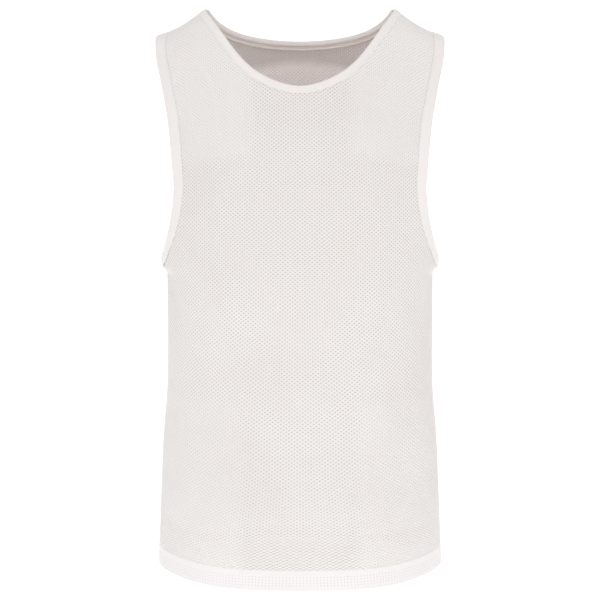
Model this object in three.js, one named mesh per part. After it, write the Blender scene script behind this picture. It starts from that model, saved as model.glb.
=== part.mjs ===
import * as THREE from "three";
import { mergeVertices } from "three/addons/utils/BufferGeometryUtils.js";

// A mesh training bib, hollow and filled out as if somebody wore it. Millimetres.
// +Z is up, the front of the bib faces -Y and the wearer's left side is +X.
// The origin lies midway between the shoulders, level with the side neck points.

// Every place on the cloth has two measures, as on a flat pattern.
// across: the way along the cloth from the middle line, in millimetres.
// down: the way from the shoulder line, positive over the front, negative over the back.

const CLOTH_WALL = 1.2;
const BAND_OUT = 0.6;
const BAND_IN = -1.8;
const BAND_FOLD = 0.9;
const SEAM_GAP = 0.3;
const MERGE = 1e-4;
const NECK_BAND = 9;
const ARM_BAND = 14.5;
const HEM_BAND = 24;
const UNDERARM_HEIGHT = -297;

// Points along each edge.
const BODY_ROWS = 15;
const EDGE_STEPS = 24;
const HALF_COLUMNS = 14;
const NECK_MARGIN = 3;

// Middle line of the cloth, from the back hem over the shoulders to the front hem.
// Columns: y, height, share of the shoulder slope.
const middleLine = [
  [114, -668, 0],
  [110, -585, 0],
  [106, -500, 0],
  [102, -400, 0],
  [105, -310, 0],
  [107, -250, 0.03],
  [108, -206, 0.12],
  [107, -164, 0.27],
  [103, -124, 0.44],
  [97, -86, 0.6],
  [88, -50, 0.74],
  [76, -18, 0.85],
  [60, 8.8, 0.93],
  [40, 26.2, 0.98],
  [20, 33.2, 1],
  [0, 34.7, 1],
  [-18, 32.3, 1],
  [-36, 24.2, 0.98],
  [-53, 4.8, 0.94],
  [-68, -22, 0.87],
  [-81, -52, 0.77],
  [-93, -86, 0.64],
  [-103, -122, 0.48],
  [-111, -162, 0.3],
  [-116, -205, 0.14],
  [-119, -250, 0.04],
  [-120, -310, 0],
  [-119, -400, 0],
  [-121, -500, 0],
  [-124, -585, 0],
  [-129, -668, 0],
];
const SHOULDER_ROW = 15;

// Width of the body by height.
// Columns: height, half width, squareness of the oval.
const bodyWidth = [
  [-668, 172.2, 0],
  [-585, 168.6, 0.01],
  [-500, 163.9, 0.025],
  [-460, 160.2, 0.03],
  [-400, 158.6, 0.04],
  [-310, 158.2, 0.05],
  [-250, 163, 0.05],
  [-205, 167, 0.05],
  [-162, 172, 0.05],
  [-122, 177, 0.05],
  [-86, 181, 0.05],
  [-50, 184.5, 0.05],
  [-18, 186, 0.05],
  [36, 186, 0.05],
];

// Neck edge from the shoulder line to the middle of the front and of the back.
// Columns: across, down.
const neckFront = [
  [117, 0],
  [118, 26],
  [111, 47],
  [100.8, 68.3],
  [88.3, 93.1],
  [75.7, 116.3],
  [63.8, 134.6],
  [48.9, 151.7],
  [31, 164.8],
  [14.2, 172.2],
  [0, 174.6],
];
const neckBack = [
  [117, 0],
  [115.8, -22],
  [111.6, -43],
  [103.6, -61],
  [89.8, -79.8],
  [66.4, -99],
  [35, -113.2],
  [0, -118.4],
];

// Armhole edge from the shoulder tip to the side seam; the last row is worked out.
// Columns: across, down.
const armFront = [
  [186.3, 0],
  [186.9, 24],
  [186.8, 46],
  [184.4, 72],
  [176.6, 105.7],
  [168.1, 140.4],
  [160.5, 174.4],
  [155.7, 209.5],
  [153.2, 247.8],
  [153.1, 284.5],
  [158.8, 312.9],
  [171.1, 339.5],
  [188.7, 357.7],
  [206, 368.8],
  [219.5, 373.6],
];
const armBack = [
  [186.3, 0],
  [186.2, -24],
  [185.5, -48],
  [184.5, -81],
  [182.5, -113.6],
  [179.5, -146.6],
  [175.8, -179.1],
  [173.2, -210.6],
  [171.9, -242.1],
  [171.4, -271.5],
  [173, -300],
  [177.8, -326.6],
  [186, -349],
  [197, -367],
  [208, -377],
];

// Soft folds of the cloth, the same on the left and right sides.
// Columns: across, down, half length, half width, lean from upright in degrees, depth.
const folds = [
  [168, 430, 62, 18, -16, -2.4],
  [197, 440, 60, 20, -26, 1],
  [128, 530, 110, 22, -7, -1.2],
  [156, 590, 90, 22, -4, 1.3],
  [150, -440, 70, 19, -18, -2.4],
  [186, -450, 50, 17, -26, 1.6],
  [104, -520, 120, 24, -8, -1.4],
  [62, -260, 80, 26, 6, -1.2],
  [170, 235, 110, 28, 0, 8],
];

// Height of the shoulder line over the side neck point, and its end at the arm.
const NECK_POINT = 112;
const SHOULDER_TIP = 174;
const TIP_DROP = 31;
const DROP_POWER = 1.4;
const SHOULDER_SAG = 1.6;

// The front and back are a little flat near the hem, and turn faster to the sides.
const HEM_FLAT = 0.5;
const HEM_FLAT_FROM = -420;
const HEM_FLAT_TURN = 0.58;

// The cloth stands out a little under the arm.
const FLARE = 6.3;
const FLARE_FOOT = -316;
const FLARE_TOP = -305;
const FLARE_FADE = -222;
const FLARE_POWER = 12;

const LINE_POINTS = 140;
const LINE_END = 1.75;

const column = (table, index) => table.map((row) => row[index]);

// Way travelled along a row of points, from the first one.
function travel(points) {
  const out = [0];
  for (let i = 1; i < points.length; i++) {
    const step = points[i].map((value, k) => value - points[i - 1][k]);
    out.push(out[i - 1] + Math.hypot(...step));
  }
  return out;
}

// Smooth value between the rows of a table, level at one end where that is asked.
function smooth(at, values, levelEnd) {
  const last = at.length - 1;
  const rates = values.map((value, i) => {
    if (i === levelEnd) return 0;
    if (i === 0) return (values[1] - value) / (at[1] - at[0]);
    if (i === last) return (value - values[i - 1]) / (at[i] - at[i - 1]);
    const before = at[i] - at[i - 1];
    const after = at[i + 1] - at[i];
    const rise = (value - values[i - 1]) / before;
    const next = (values[i + 1] - value) / after;
    return (rise * after + next * before) / (before + after);
  });
  return (x) => {
    const place = Math.min(Math.max(x, at[0]), at[last]);
    let i = 0;
    while (i < last - 1 && at[i + 1] <= place) i++;
    const width = at[i + 1] - at[i];
    const t = (place - at[i]) / width;
    const start = (2 * t - 3) * t * t + 1;
    const startRate = ((t - 2) * t + 1) * t * width;
    const endRate = (t - 1) * t * t * width;
    const near = start * values[i] + startRate * rates[i];
    return near + (1 - start) * values[i + 1] + endRate * rates[i + 1];
  };
}

const ease = (t) => {
  const s = Math.min(Math.max(t, 0), 1);
  return s * s * (3 - 2 * s);
};

function shoulderHeight(x) {
  const off = Math.abs(x);
  const span = SHOULDER_TIP - NECK_POINT;
  if (off >= NECK_POINT) {
    const left = Math.max((SHOULDER_TIP - off) / span, 0);
    const sag = SHOULDER_SAG * Math.sin(Math.PI * (1 - Math.min(left, 1))) ** 2;
    return TIP_DROP * (left ** DROP_POWER - 1) - sag;
  }
  const slope = (TIP_DROP * DROP_POWER) / span;
  return (slope / (2 * NECK_POINT)) * (NECK_POINT ** 2 - off ** 2);
}
const CROWN = shoulderHeight(0);
// Crown over the side neck points that the heights of the middle line are written for.
const TABLE_CROWN = 40;

const travelled = travel(middleLine.map((row) => [row[0], row[1]]));
const downRows = travelled.map((value) => value - travelled[SHOULDER_ROW]);
const middleY = smooth(downRows, column(middleLine, 0));
const middleHeight = smooth(downRows, column(middleLine, 1));
const slopeShare = smooth(downRows, column(middleLine, 2));
const halfWidth = smooth(column(bodyWidth, 0), column(bodyWidth, 1));
const squareness = smooth(column(bodyWidth, 0), column(bodyWidth, 2));
const BACK_END = downRows[0];
const FRONT_END = downRows[downRows.length - 1];

// One level line of the cloth, from the middle past the side.
function levelPoint(down, turn) {
  const height = middleHeight(down);
  const sine = Math.sin(turn);
  const grow = 1 + squareness(height) * Math.sin(2 * turn) ** 2;
  const x = halfWidth(height) * sine * grow;
  const low = (HEM_FLAT_FROM - height) / (HEM_FLAT_FROM - middleLine[0][1]);
  const flat = HEM_FLAT * ease(low) * sine ** 2 * (HEM_FLAT_TURN - sine ** 2);
  const y = middleY(down) * Math.cos(turn) * grow * (1 + flat);
  const lift = shoulderHeight(x) - CROWN;
  const z = height - TABLE_CROWN + CROWN + slopeShare(down) * lift;
  const foot = ease((z - FLARE_FOOT) / (FLARE_TOP - FLARE_FOOT));
  const fade = ease((FLARE_FADE - z) / (FLARE_FADE - FLARE_TOP));
  return [x + FLARE * foot * fade * sine ** FLARE_POWER, y, z];
}

const lines = new Map();
function levelLine(down) {
  const key = down.toFixed(5);
  if (!lines.has(key)) {
    const points = [];
    for (let i = 0; i <= LINE_POINTS; i++)
      points.push(levelPoint(down, (i / LINE_POINTS) * LINE_END));
    lines.set(key, travel(points));
  }
  return lines.get(key);
}

// Turn round the body that lies a given way along a level line, and the reverse.
function turnAt(across, down) {
  const way = levelLine(down);
  let i = 0;
  while (i < LINE_POINTS - 1 && way[i + 1] <= across) i++;
  const part = (across - way[i]) / (way[i + 1] - way[i]);
  return ((i + part) / LINE_POINTS) * LINE_END;
}
function sideReach(down) {
  const way = levelLine(down);
  const place = (Math.PI / 2 / LINE_END) * LINE_POINTS;
  const i = Math.floor(place);
  return way[i] + (place - i) * (way[i + 1] - way[i]);
}

// Depth of the folds at a place on the cloth.
function foldDepth(across, down) {
  let depth = 0;
  for (const [q, p, length, width, lean, amount] of folds) {
    if (p * down < 0) continue;
    const angle = THREE.MathUtils.degToRad(lean);
    const side = Math.abs(across) - q;
    const fall = Math.abs(down) - Math.abs(p);
    const along = (fall * Math.cos(angle) + side * Math.sin(angle)) / length;
    const off = (side * Math.cos(angle) - fall * Math.sin(angle)) / width;
    depth += amount * Math.exp(-(along ** 2) - off ** 2);
  }
  return depth;
}

function plainSurface(across, down) {
  const turn = turnAt(Math.abs(across), down);
  const [x, y, z] = levelPoint(down, turn);
  return new THREE.Vector3(across < 0 ? -x : x, y, z);
}

const REACH = 0.5;
function directions(across, down) {
  const q1 = plainSurface(across + REACH, down);
  const q0 = plainSurface(across - REACH, down);
  const p1 = plainSurface(across, down + REACH);
  const p0 = plainSurface(across, down - REACH);
  const sideways = q1.sub(q0).divideScalar(2 * REACH);
  const falling = p1.sub(p0).divideScalar(2 * REACH);
  const out = new THREE.Vector3().crossVectors(falling, sideways).normalize();
  return { sideways, falling, out };
}

// Point of the cloth's outer face, moved out by an offset.
function place(across, down, offset) {
  const { out } = directions(across, down);
  const point = plainSurface(across, down);
  return point.addScaledVector(out, offset + foldDepth(across, down));
}

// Way down the cloth at which the side seam has a given height.
function downAtSide(height, face) {
  let low = 0;
  let high = face > 0 ? FRONT_END : -BACK_END;
  for (let i = 0; i < 40; i++) {
    const middle = (low + high) / 2;
    const z = levelPoint(face * middle, Math.PI / 2)[2];
    if (z > height) low = middle;
    else high = middle;
  }
  return face * low;
}

// Evenly spaced places along a table's edge, square to the shoulder line and the far end.
function edgePlaces(table) {
  const way = travel(table);
  const q = smooth(way, column(table, 0), 0);
  const p = smooth(way, column(table, 1), way.length - 1);
  const out = [];
  for (let i = 0; i <= EDGE_STEPS; i++) {
    const at = (i / EDGE_STEPS) * way[way.length - 1];
    const ahead = Math.min(at + REACH, way[way.length - 1]);
    const behind = Math.max(at - REACH, 0);
    out.push({
      across: q(at),
      down: p(at),
      run: [q(ahead) - q(behind), p(ahead) - p(behind)],
    });
  }
  return out;
}

// Step on the pattern that moves one millimetre into the cloth, square to the edge.
function inwardStep(edge, turnSign) {
  const { sideways, falling, out } = directions(edge.across, edge.down);
  const run = new THREE.Vector3()
    .addScaledVector(sideways, edge.run[0])
    .addScaledVector(falling, edge.run[1]);
  const inward = new THREE.Vector3().crossVectors(run, out);
  inward.normalize().multiplyScalar(turnSign);
  const a = sideways.dot(sideways);
  const b = sideways.dot(falling);
  const c = falling.dot(falling);
  const u = inward.dot(sideways);
  const v = inward.dot(falling);
  const size = a * c - b * b;
  return [(c * u - b * v) / size, (a * v - b * u) / size];
}

// Rows of an edge with the step into the cloth at each.
function edgeRows(table, turnSign) {
  return edgePlaces(table).map((edge) => ({
    ...edge,
    step: inwardStep(edge, turnSign),
  }));
}

function moved(edge, distance) {
  return [
    edge.across + edge.step[0] * distance,
    edge.down + edge.step[1] * distance,
  ];
}

const frontUnderarm = downAtSide(UNDERARM_HEIGHT, 1);
const backUnderarm = downAtSide(UNDERARM_HEIGHT, -1);
armFront.push([sideReach(frontUnderarm), frontUnderarm]);
armBack.push([sideReach(backUnderarm), backUnderarm]);

const neckFrontRows = edgeRows(neckFront, -1);
const neckBackRows = edgeRows(neckBack, 1);
const armFrontRows = edgeRows(armFront, 1);
const armBackRows = edgeRows(armBack, -1);

// The band runs straight down the side seam and square off the shoulder seam.
for (const [rows, under] of [
  [armFrontRows, frontUnderarm],
  [armBackRows, backUnderarm],
]) {
  const far = under + Math.sign(under) * ARM_BAND;
  rows[EDGE_STEPS].step = [
    (sideReach(far) - sideReach(under)) / ARM_BAND,
    (far - under) / ARM_BAND,
  ];
  rows[0].step = [-1, 0];
}
neckFrontRows[0].step = [1, 0];
neckBackRows[0].step = [1, 0];
neckFrontRows[EDGE_STEPS].step = [0, 1];
neckBackRows[EDGE_STEPS].step = [0, -1];

// Outline of a folded band across its width: way from the folded edge, way outwards.
function bandOutline(width) {
  return [
    [0, (BAND_OUT + BAND_IN) / 2],
    [BAND_FOLD, BAND_OUT],
    [width / 2, BAND_OUT],
    [width, BAND_OUT],
    [width, BAND_IN],
    [width / 2, BAND_IN],
    [BAND_FOLD, BAND_IN],
  ];
}

// A solid from four-cornered and three-cornered faces, turned so that they look out.
function solid(faces) {
  const corners = [];
  const add = (a, b, c) => {
    const shortest = Math.min(a.distanceTo(b), b.distanceTo(c), c.distanceTo(a));
    if (shortest > MERGE) corners.push(a, b, c);
  };
  for (const [a, b, c, d] of faces) {
    add(a, b, c);
    if (d) add(a, c, d);
  }
  let volume = 0;
  for (let i = 0; i < corners.length; i += 3) {
    const side = new THREE.Vector3().crossVectors(corners[i + 1], corners[i + 2]);
    volume += corners[i].dot(side);
  }
  if (volume < 0) corners.reverse();
  const shape = new THREE.BufferGeometry().setFromPoints(corners);
  const joined = mergeVertices(shape, MERGE);
  joined.computeVertexNormals();
  return joined;
}

// A run of equal outlines joined into one solid, closed round or capped.
function sweep(outlines, closed) {
  const size = outlines[0].length;
  const count = outlines.length;
  const faces = [];
  for (let k = 0; k < (closed ? count : count - 1); k++) {
    const near = outlines[k];
    const far = outlines[(k + 1) % count];
    for (let m = 0; m < size; m++) {
      const next = (m + 1) % size;
      faces.push([near[m], near[next], far[next], far[m]]);
    }
  }
  if (!closed)
    for (const outline of [[...outlines[0]].reverse(), outlines[count - 1]]) {
      const middle = new THREE.Vector3();
      outline.forEach((point) => middle.addScaledVector(point, 1 / size));
      outline.forEach((point, m) => {
        faces.push([middle, point, outline[(m + 1) % size]]);
      });
    }
  return solid(faces);
}

const mirrorPoint = (point) => new THREE.Vector3(-point.x, point.y, point.z);

// A wall of cloth between an outer and an inner net of points, and its mirror image.
// Above the row openFrom the two halves have an open edge between them.
function mirroredWall(outer, inner, openFrom) {
  const last = outer.length - 1;
  const end = outer[0].length - 1;
  const faces = [];
  for (let r = 0; r < last; r++) {
    for (let c = 0; c < end; c++) {
      const [a, b] = [outer[r], outer[r + 1]];
      faces.push([a[c], a[c + 1], b[c + 1], b[c]]);
      const [d, e] = [inner[r], inner[r + 1]];
      faces.push([d[c], e[c], e[c + 1], d[c + 1]]);
    }
    faces.push([outer[r + 1][end], outer[r][end], inner[r][end], inner[r + 1][end]]);
    if (r >= openFrom)
      faces.push([outer[r][0], outer[r + 1][0], inner[r + 1][0], inner[r][0]]);
  }
  for (let c = 0; c < end; c++) {
    faces.push([outer[0][c + 1], outer[0][c], inner[0][c], inner[0][c + 1]]);
    const [a, d] = [outer[last], inner[last]];
    faces.push([a[c], a[c + 1], d[c + 1], d[c]]);
  }
  const other = faces.map(([a, b, c, d]) => [a, d, c, b].map(mirrorPoint));
  return solid([...faces, ...other]);
}

// Pattern places of half the front (face 1) or half the back (face -1).
// Each row runs from the middle line or the neck out to the side seam or the armhole.
function halfPlaces(face) {
  const neckRows = [...(face > 0 ? neckFrontRows : neckBackRows)].reverse();
  const armRows = [...(face > 0 ? armFrontRows : armBackRows)].reverse();
  const neck = neckRows.map((edge) => moved(edge, NECK_BAND + SEAM_GAP));
  const arm = armRows.map((edge) => moved(edge, ARM_BAND + SEAM_GAP));
  neck[EDGE_STEPS][1] = (face * SEAM_GAP) / 2;
  arm[EDGE_STEPS][1] = (face * SEAM_GAP) / 2;
  const hemEnd = face > 0 ? FRONT_END : BACK_END;
  const hemTop = hemEnd - face * (HEM_BAND + SEAM_GAP / 2);
  const ends = [];
  for (let i = 0; i <= BODY_ROWS; i++) {
    const level = hemTop + ((arm[0][1] - hemTop) * i) / BODY_ROWS;
    ends.push([[0, level], [sideReach(level) - SEAM_GAP / 2, level]]);
  }
  // Rows that meet the armhole below the neck are level and start on the middle line.
  const isLow = ([, down]) => face * (down - neck[0][1]) > NECK_MARGIN;
  const low = arm.filter(isLow).length;
  for (const point of arm.slice(1, low)) ends.push([[0, point[1]], point]);
  const openFrom = ends.length;
  const last = low - 1;
  neck.forEach((point, i) => {
    const step = last + Math.floor((i * (EDGE_STEPS - last)) / EDGE_STEPS);
    ends.push([point, arm[step]]);
  });
  const rows = ends.map(([start, end]) => {
    const row = [];
    for (let c = 0; c <= HALF_COLUMNS; c++) {
      const share = c / HALF_COLUMNS;
      row.push(start.map((value, k) => value + (end[k] - value) * share));
    }
    return row;
  });
  return { rows, openFrom };
}

function panel(face) {
  const { rows, openFrom } = halfPlaces(face);
  const net = (offset) =>
    rows.map((row) => row.map(([across, down]) => place(across, down, offset)));
  return mirroredWall(net(0), net(-CLOTH_WALL), openFrom);
}

function hem(face) {
  const end = face > 0 ? FRONT_END : BACK_END;
  const outline = bandOutline(HEM_BAND - SEAM_GAP / 2);
  const outlines = [];
  for (let c = -HALF_COLUMNS; c <= HALF_COLUMNS; c++)
    outlines.push(
      outline.map(([way, offset]) => {
        const down = end - face * way;
        const reach = sideReach(down) - SEAM_GAP / 2;
        return place((reach * c) / HALF_COLUMNS, down, offset);
      }),
    );
  return sweep(outlines, false);
}

const bandOutlineAt = (edge, width) =>
  bandOutline(width).map(([way, offset]) => {
    const [across, down] = moved(edge, way);
    return place(across, down, offset);
  });

const mirrored = (outlines) => outlines.map((outline) => outline.map(mirrorPoint));

function neckBinding() {
  const half = [...[...neckFrontRows].reverse(), ...neckBackRows.slice(1)];
  const left = half.map((edge) => bandOutlineAt(edge, NECK_BAND));
  const right = mirrored(left).slice(1, -1).reverse();
  return sweep([...left, ...right], true);
}

// The armhole on the +X side is the wearer's left one.
function armholeBinding(mirror) {
  const rows = [...armFrontRows, ...armBackRows.slice(1, -1).reverse()];
  const outlines = rows.map((edge) => bandOutlineAt(edge, ARM_BAND));
  return sweep(mirror ? mirrored(outlines) : outlines, true);
}

const meshCloth = new THREE.MeshStandardMaterial({
  name: "mesh_cloth",
  color: 0xece8e5,
  roughness: 0.85,
});
const bindingCloth = new THREE.MeshStandardMaterial({
  name: "binding_cloth",
  color: 0xf2f1ef,
  roughness: 0.8,
});

const bib = new THREE.Group();
bib.name = "training_bib";
const addPiece = (name, shape, cloth) => {
  const mesh = new THREE.Mesh(shape, cloth);
  mesh.name = name;
  bib.add(mesh);
};

addPiece("front", panel(1), meshCloth);
addPiece("back", panel(-1), meshCloth);
addPiece("hem_front", hem(1), meshCloth);
addPiece("hem_back", hem(-1), meshCloth);
addPiece("neck_binding", neckBinding(), bindingCloth);
addPiece("armhole_binding_left", armholeBinding(false), bindingCloth);
addPiece("armhole_binding_right", armholeBinding(true), bindingCloth);

export default bib;
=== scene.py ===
import math

import bpy
import numpy as np
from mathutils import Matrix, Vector


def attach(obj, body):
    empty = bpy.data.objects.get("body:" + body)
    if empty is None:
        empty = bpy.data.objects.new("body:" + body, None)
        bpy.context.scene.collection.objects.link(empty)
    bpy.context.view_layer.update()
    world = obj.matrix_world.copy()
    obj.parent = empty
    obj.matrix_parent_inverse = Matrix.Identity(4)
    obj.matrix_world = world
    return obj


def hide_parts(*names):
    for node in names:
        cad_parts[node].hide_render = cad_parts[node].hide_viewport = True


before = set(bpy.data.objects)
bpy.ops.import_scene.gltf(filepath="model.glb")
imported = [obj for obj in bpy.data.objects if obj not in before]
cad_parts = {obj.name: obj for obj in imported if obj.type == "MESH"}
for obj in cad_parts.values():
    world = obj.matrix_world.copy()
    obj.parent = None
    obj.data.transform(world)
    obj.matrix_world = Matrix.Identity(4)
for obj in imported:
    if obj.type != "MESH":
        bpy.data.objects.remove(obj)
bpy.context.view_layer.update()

# The cloth is worked out in millimetres, in the same frame as the solids, and then scaled.
# across: way along the cloth from the middle line. down: way from the shoulder line,
# positive over the front and negative over the back.
MM = 0.001

# Middle line of the cloth, from the back hem over the shoulders to the front hem.
# y, height, share of the shoulder slope
MIDDLE_LINE = np.array([
    (114, -668, 0), (110, -585, 0), (106, -500, 0), (102, -400, 0), (105, -310, 0),
    (107, -250, 0.03), (108, -206, 0.12), (107, -164, 0.27), (103, -124, 0.44),
    (97, -86, 0.6), (88, -50, 0.74), (76, -18, 0.85), (60, 8.8, 0.93), (40, 26.2, 0.98),
    (20, 33.2, 1), (0, 34.7, 1), (-18, 32.3, 1), (-36, 24.2, 0.98), (-53, 4.8, 0.94),
    (-68, -22, 0.87), (-81, -52, 0.77), (-93, -86, 0.64), (-103, -122, 0.48),
    (-111, -162, 0.3), (-116, -205, 0.14), (-119, -250, 0.04), (-120, -310, 0),
    (-119, -400, 0), (-121, -500, 0), (-124, -585, 0), (-129, -668, 0),
], float)
SHOULDER_ROW = 15

# height, half width of the body, squareness of the oval
BODY_WIDTH = np.array([
    (-668, 172.2, 0), (-585, 168.6, 0.01), (-500, 163.9, 0.025), (-460, 160.2, 0.03),
    (-400, 158.6, 0.04), (-310, 158.2, 0.05), (-250, 163, 0.05), (-205, 167, 0.05), (-162, 172, 0.05),
    (-122, 177, 0.05), (-86, 181, 0.05), (-50, 184.5, 0.05), (-18, 186, 0.05),
    (36, 186, 0.05),
], float)

# Edges of the cloth from the shoulder line on: across, down
NECK_FRONT = np.array([
    (117, 0), (118, 26), (111, 47), (100.8, 68.3), (88.3, 93.1), (75.7, 116.3),
    (63.8, 134.6), (48.9, 151.7), (31, 164.8), (14.2, 172.2), (0, 174.6),
], float)
NECK_BACK = np.array([
    (117, 0), (115.8, -22), (111.6, -43), (103.6, -61), (89.8, -79.8), (66.4, -99),
    (35, -113.2), (0, -118.4),
], float)
ARM_FRONT = np.array([
    (186.3, 0), (186.9, 24), (186.8, 46), (184.4, 72), (176.6, 105.7), (168.1, 140.4),
    (160.5, 174.4), (155.7, 209.5), (153.2, 247.8), (153.1, 284.5), (158.8, 312.9),
    (171.1, 339.5), (188.7, 357.7), (206, 368.8), (219.5, 373.6),
], float)
ARM_BACK = np.array([
    (186.3, 0), (186.2, -24), (185.5, -48), (184.5, -81), (182.5, -113.6),
    (179.5, -146.6), (175.8, -179.1), (173.2, -210.6), (171.9, -242.1), (171.4, -271.5),
    (173, -300), (177.8, -326.6), (186, -349), (197, -367), (208, -377),
], float)

# Main folds, alike on both sides, then small ones with the side they lie on.
# side, across, down, half length, half width, lean in degrees, depth
FOLDS = [
    (0, 168, 430, 62, 18, -16, -2.4), (0, 197, 440, 60, 20, -26, 1.0),
    (0, 128, 530, 110, 22, -7, -1.2), (0, 156, 590, 90, 22, -4, 1.3),
    (0, 150, -440, 70, 19, -18, -2.4), (0, 186, -450, 50, 17, -26, 1.6),
    (0, 104, -520, 120, 24, -8, -1.4), (0, 62, -260, 80, 26, 6, -1.2),
    (0, 170, 235, 110, 28, 0, 8.0),
    (-1, 186, 402, 40, 9, -38, -1.0), (-1, 140, 470, 60, 12, -12, 0.7),
    (1, 190, 408, 34, 8, -42, -0.9), (1, 150, 496, 70, 13, -15, 0.8),
    (-1, 176, -410, 44, 10, -40, -1.0), (1, 172, -430, 52, 11, -33, -1.1),
    (-1, 70, -610, 90, 15, 5, 0.8), (1, 84, -640, 80, 14, -6, -0.8),
    (-1, 96, 640, 80, 15, -4, -0.6), (1, 110, 655, 70, 14, 5, 0.6),
    (-1, 84, -200, 60, 13, 24, -0.8), (1, 96, -215, 66, 14, 20, 0.7),
]

# Slope of the shoulders: half widths where it starts and ends, its drop and how it bends
NECK_POINT, SHOULDER_TIP, TIP_DROP, DROP_POWER = 112.0, 174.0, 31.0, 1.4
# Small sag of the slope between those two
SHOULDER_SAG = 1.6
# Height of the crown that the middle line's table is written for
TABLE_CROWN = 40.0
# Front and back grow flatter towards the hem: share, height where that starts, and squared
# sine of the turn where it ends
HEM_FLAT, HEM_FLAT_FROM, HEM_FLAT_TURN = 0.5, -420.0, 0.58
# Flare of the cloth under each arm: size, heights where it starts, is full and has faded
FLARE, FLARE_FOOT, FLARE_TOP, FLARE_FADE, FLARE_POWER = 6.3, -316.0, -305.0, -222.0, 12
UNDERARM_HEIGHT = -297.0
# Small folds fade out over this way beside the middle line
FOLD_FADE = 40.0
# Widths of the neck's and armholes' bindings, and depth of the hem
NECK_BAND, ARM_BAND, HEM_BAND = 9.0, 14.5, 24.0
# Bound edges curl in over the shoulders: depth, way in and way along the edge
CURL, CURL_WIDTH, CURL_LENGTH = 3.0, 5.0, 16.0

# Net of the cloth: down from the shoulder line, pitch across, pitch down
NET = np.array([
    (0, 5.2, 4.1), (180, 5.2, 4.1), (300, 5.4, 4.3), (440, 5.6, 4.5), (560, 6.2, 4.4),
    (620, 6.4, 4.2), (670, 7.0, 3.6), (760, 8.1, 3.2),
], float)
# Each panel's net is two pieces, one above and one below this way down
NET_SPLIT = 330.0
# How nearly level the rows lie where the shoulders slope, and how far beyond the hem they go
ROW_LEVEL, ROWS_BEYOND = 0.75, 20.0
# Half width and half height of an eyelet, as shares of the pitches
EYELET_ACROSS, EYELET_DOWN = 0.034, 0.125
# Way out of the eyelets' rims and of the knots between them, in the panels and in the hem
RIM_OUT, HEM_RIM_OUT, KNOT_OUT = -0.45, -0.15, 0.1
# The net sinks at the side and shoulder seams: depth, and way beside the seam
SEAM_SINK, SEAM_SINK_WIDTH = 0.5, 1.6
# Strength of the painted pit shade in the hem's dots, and the slight share of it on its plain strips
HEM_PIT_SHADE, HEM_PLAIN_SHADE = 1.0, 0.69
# Strength of the dots' painted shade: down from the shoulder line, share on the front, share on the back
DOT_SHADE = np.array([
    (0, 0.86, 0.79), (60, 0.86, 0.8), (130, 1.04, 0.82), (160, 1.06, 1.3), (330, 1.06, 1.06),
    (570, 1.02, 1.02), (610, 1.0, 1.0), (670, 1.0, 1.0), (700, 1.3, 1.3),
], float)
# Paler painted dot shade beside the middle: from this far across, down from and to, greatest share
PALER_DOTS = [(56, -100, 252, 0.865), (68, 535, 690, 0.91), (68, 690, 800, 1.0)]
PALER_DOTS_FADE = 18.0


def smooth(at, values, level_end=None):
    """A smooth curve through the rows of a table, level at one end where asked."""
    at, values = np.asarray(at, float), np.asarray(values, float)
    rates = np.gradient(values, at)
    if level_end is not None:
        rates[level_end] = 0.0

    def value(x):
        x = np.clip(x, at[0], at[-1])
        i = np.clip(np.searchsorted(at, x, side="right") - 1, 0, len(at) - 2)
        width = at[i + 1] - at[i]
        t = (x - at[i]) / width
        start = (2 * t - 3) * t * t + 1
        near = start * values[i] + ((t - 2) * t + 1) * t * width * rates[i]
        return near + (1 - start) * values[i + 1] + (t - 1) * t * t * width * rates[i + 1]

    return value


def travel(points):
    """Way along a line of points, from its first point."""
    steps = np.linalg.norm(np.diff(points, axis=0), axis=1)
    return np.concatenate([[0.0], np.cumsum(steps)])


def ease(t):
    """From 0 to 1, level at both ends."""
    t = np.clip(t, 0, 1)
    return t * t * (3 - 2 * t)


def unit(vectors):
    """Directions of length one."""
    return vectors / np.linalg.norm(vectors, axis=-1, keepdims=True)


def shoulder_height(x):
    """Height of the shoulder line at a way from the middle."""
    x, span = np.abs(x), SHOULDER_TIP - NECK_POINT
    left = np.clip((SHOULDER_TIP - x) / span, 0, None)
    slope = TIP_DROP * DROP_POWER / span
    inner = slope / (2 * NECK_POINT) * (NECK_POINT**2 - x**2)
    sag = SHOULDER_SAG * np.sin(math.pi * np.clip((x - NECK_POINT) / span, 0, 1)) ** 2
    return np.where(x < NECK_POINT, inner, TIP_DROP * (left**DROP_POWER - 1) - sag)


# The cloth as one smooth surface, kept as a fine grid of points
travelled = travel(MIDDLE_LINE[:, :2])
DOWN_ROWS = travelled - travelled[SHOULDER_ROW]
BACK_END, FRONT_END = DOWN_ROWS[0], DOWN_ROWS[-1]
middle_y, middle_height, slope_share = (smooth(DOWN_ROWS, MIDDLE_LINE[:, k]) for k in range(3))
half_width, squareness = (smooth(BODY_WIDTH[:, 0], BODY_WIDTH[:, k]) for k in (1, 2))
CROWN = float(shoulder_height(0.0))

# Rows of the grid lie about 1 mm apart, and its columns 1 mm, up to this reach on both sides
GRID_ROWS, GRID_REACH = 1508, 262
# The oval round the body is worked out in small turns from the middle to beyond the side
TURN_STEPS, LAST_TURN = 176, 1.75
GRID_DOWN = np.linspace(BACK_END, FRONT_END, GRID_ROWS)
GRID_ACROSS = np.arange(-GRID_REACH, GRID_REACH + 1.0)
TURNS = np.linspace(0, LAST_TURN, TURN_STEPS)


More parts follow.
